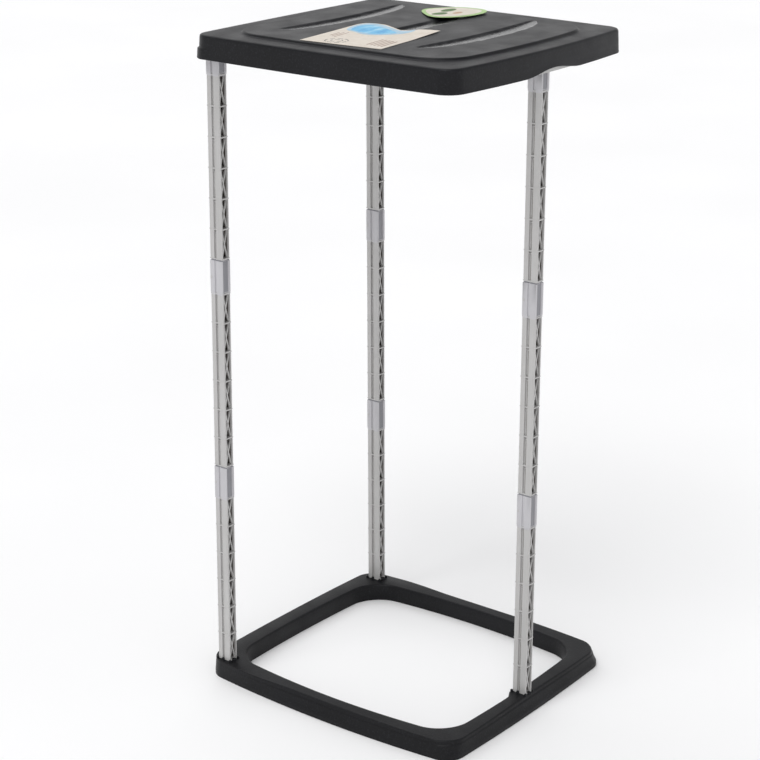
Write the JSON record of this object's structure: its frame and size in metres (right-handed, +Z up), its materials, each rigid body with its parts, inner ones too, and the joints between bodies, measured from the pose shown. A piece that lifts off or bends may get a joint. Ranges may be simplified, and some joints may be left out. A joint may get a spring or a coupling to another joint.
{
  "type": "waste bag stand",
  "caption": "Free-standing bag holder: black base ring, three slim braced grey legs made of plug-together sections, grey bag ring and a black square hinged lid.",
  "frame": {"origin": "centre of the bounding box on the floor plane", "axes": "+Z up, -Y towards the single front leg and the lid's finger arch, +Y towards the lid hinge, +X towards the right-hand rear leg seen from the front"},
  "size_m": [0.386, 0.424, 0.8927],
  "materials": {
    "black_pp": "fine grained moulded, slight sheen",
    "grey_pp": "silver grey moulded, satin",
    "label_paper": "matt printed card"
  },
  "bodies": {
    "stand": {"base_ring": "black_pp", "leg_left_lower": "grey_pp", "leg_left_middle": "grey_pp", "leg_left_upper": "grey_pp", "leg_right_lower": "grey_pp", "leg_right_middle": "grey_pp", "leg_right_upper": "grey_pp", "leg_front_lower": "grey_pp", "leg_front_middle": "grey_pp", "leg_front_upper": "grey_pp", "top_ring": "grey_pp", "bag_clamp_ring": "grey_pp"},
    "lid": {"lid": "black_pp", "product_label": "label_paper", "hang_tag": "label_paper"}
  },
  "joints": [
    {"name": "lid_hinge", "type": "hinge", "parent": "stand", "child": "lid", "pos_m": [0, 0.197, 0.861], "axis": [-1, 0, 0], "range_deg": [0, 90]}
  ]
}
